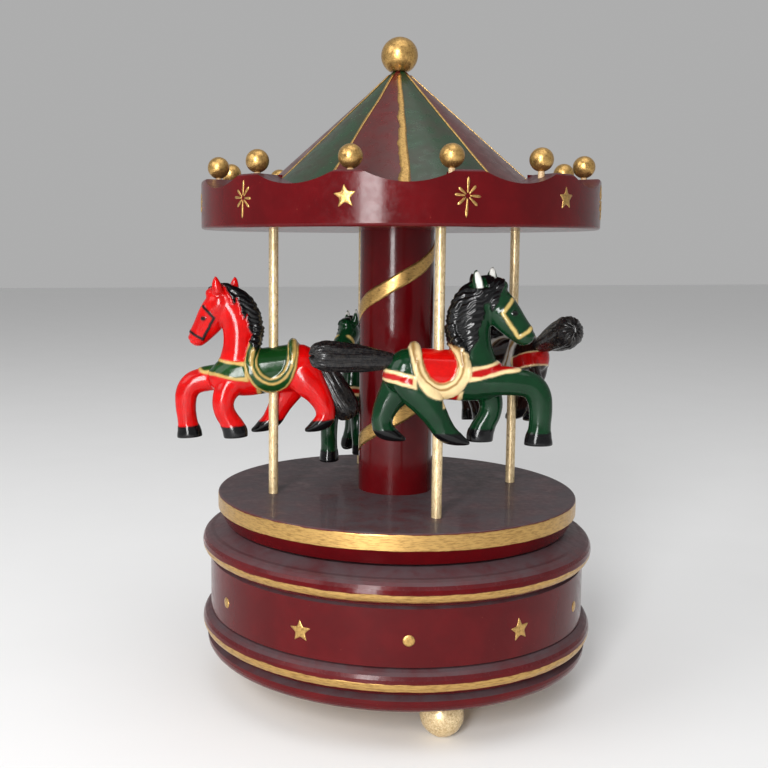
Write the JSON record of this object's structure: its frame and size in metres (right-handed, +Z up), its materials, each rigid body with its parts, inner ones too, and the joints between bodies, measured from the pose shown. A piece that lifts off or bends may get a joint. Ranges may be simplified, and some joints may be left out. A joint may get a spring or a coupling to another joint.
{
  "type": "carousel music box",
  "caption": "Turned wooden carousel music box: ball-footed drum with a wind-up movement turns a platform, column and scalloped canopy with painted horses on poles.",
  "frame": {"origin": "on the spindle axis, at the surface the ball feet stand on", "axes": "+Z up along the spindle; -Y towards the front foot and the front horse's pole, +X to the right"},
  "size_m": [0.1148, 0.1163, 0.1783],
  "materials": {
    "maroon_lacquer": "deep maroon lacquer over turned wood, glossy on upright faces and dusty on top faces",
    "bare_wood": "bare beech",
    "foot_wood": "rubbed antique gold paint on a turned ball",
    "gold_paint": "brushed gold paint on wood",
    "roof_paint": "green and red panels painted by hand between gold lines",
    "green_enamel": "glossy enamel on a moulded figure",
    "red_enamel": "glossy enamel on a moulded figure",
    "dark_enamel": "glossy enamel on a moulded figure",
    "black_enamel": "glossy black enamel over moulded hair",
    "screw_steel": "zinc-plated steel",
    "spring_steel": "polished spring steel",
    "comb_steel": "ground steel comb",
    "zinc_casting": "dull zinc die casting",
    "brass": "machined brass",
    "key_brass": "plated brass, rubbed"
  },
  "bodies": {
    "base": {"base_drum": "maroon_lacquer", "bottom_board": "bare_wood", "board_screws": "screw_steel", "ball_feet": "foot_wood", "foot_screws": "screw_steel", "bedplate": "zinc_casting", "bedplate_screws": "screw_steel", "barrel_bridge": "screw_steel", "bridge_screws": "screw_steel", "click_screw": "screw_steel", "comb": "comb_steel", "comb_screws": "screw_steel", "governor_bracket": "zinc_casting", "bracket_screws": "screw_steel"},
    "carousel": {"barrel": "brass", "barrel_cover": "brass", "mainspring": "spring_steel", "output_stud": "screw_steel", "platform": "maroon_lacquer", "platform_insert": "brass", "column": "maroon_lacquer", "column_dowels": "bare_wood", "canopy_ring": "maroon_lacquer", "roof_cone": "roof_paint", "cone_dowel": "bare_wood", "finial_ball": "gold_paint", "finial_peg": "bare_wood", "rim_balls": "gold_paint", "rim_pegs": "bare_wood"},
    "winder": {"winding_arbor": "screw_steel", "ratchet_wheel": "spring_steel", "winding_key": "key_brass"},
    "click_arm": {"click": "brass"},
    "cylinder": {"pinned_cylinder": "brass", "cylinder_pinion": "spring_steel", "cylinder_wheel": "brass", "cylinder_arbor": "spring_steel"},
    "governor": {"governor_wheel": "brass", "governor_arbor": "spring_steel"},
    "fan": {"worm": "spring_steel", "air_brake": "brass"},
    "front_rider": {"horse_front": "green_enamel", "tail_front": "black_enamel", "pole_front": "gold_paint"},
    "right_rider": {"horse_right": "dark_enamel", "tail_right": "black_enamel", "pole_right": "gold_paint"},
    "back_rider": {"horse_back": "green_enamel", "tail_back": "black_enamel", "pole_back": "gold_paint"},
    "left_rider": {"horse_left": "red_enamel", "tail_left": "black_enamel", "pole_left": "gold_paint"}
  },
  "joints": [
    {"name": "carousel_spin", "type": "hinge", "parent": "base", "child": "carousel", "pos_m": [0, 0, 0.0457], "axis": [0, 0, 1], "continuous": true},
    {"name": "cylinder_spin", "type": "hinge", "parent": "base", "child": "cylinder", "pos_m": [0.02, 0, 0.0305], "axis": [1, 0, 0], "continuous": true},
    {"name": "governor_spin", "type": "hinge", "parent": "base", "child": "governor", "pos_m": [0.034, 0.01, 0.0305], "axis": [1, 0, 0], "continuous": true},
    {"name": "fan_spin", "type": "hinge", "parent": "base", "child": "fan", "pos_m": [0.0348, 0.0155, 0.03], "axis": [0, 0, 1], "continuous": true},
    {"name": "winding_turn", "type": "hinge", "parent": "base", "child": "winder", "pos_m": [0, 0, 0.01], "axis": [0, 0, 1], "range_deg": [0, 2160]},
    {"name": "click_rock", "type": "hinge", "parent": "base", "child": "click_arm", "pos_m": [-0.0066, 0.0052, 0.018], "axis": [0, 0, 1], "range_deg": [0, 12]},
    {"name": "front_horse_turn", "type": "hinge", "parent": "carousel", "child": "front_rider", "pos_m": [0, -0.0349, 0.0728], "axis": [0, 0, 1], "range_deg": [-50, 60]},
    {"name": "right_horse_turn", "type": "hinge", "parent": "carousel", "child": "right_rider", "pos_m": [0.0349, 0, 0.0728], "axis": [0, 0, 1], "range_deg": [-60, 38]},
    {"name": "back_horse_turn", "type": "hinge", "parent": "carousel", "child": "back_rider", "pos_m": [0, 0.0349, 0.0728], "axis": [0, 0, 1], "range_deg": [-64, 5]},
    {"name": "left_horse_turn", "type": "hinge", "parent": "carousel", "child": "left_rider", "pos_m": [-0.0349, 0, 0.0728], "axis": [0, 0, 1], "range_deg": [-80, 104]}
  ],
  "couplings": [
    {"joint": "cylinder_spin", "follows": "carousel_spin", "ratio": 3},
    {"joint": "governor_spin", "follows": "carousel_spin", "ratio": -12},
    {"joint": "fan_spin", "follows": "carousel_spin", "ratio": 192}
  ]
}
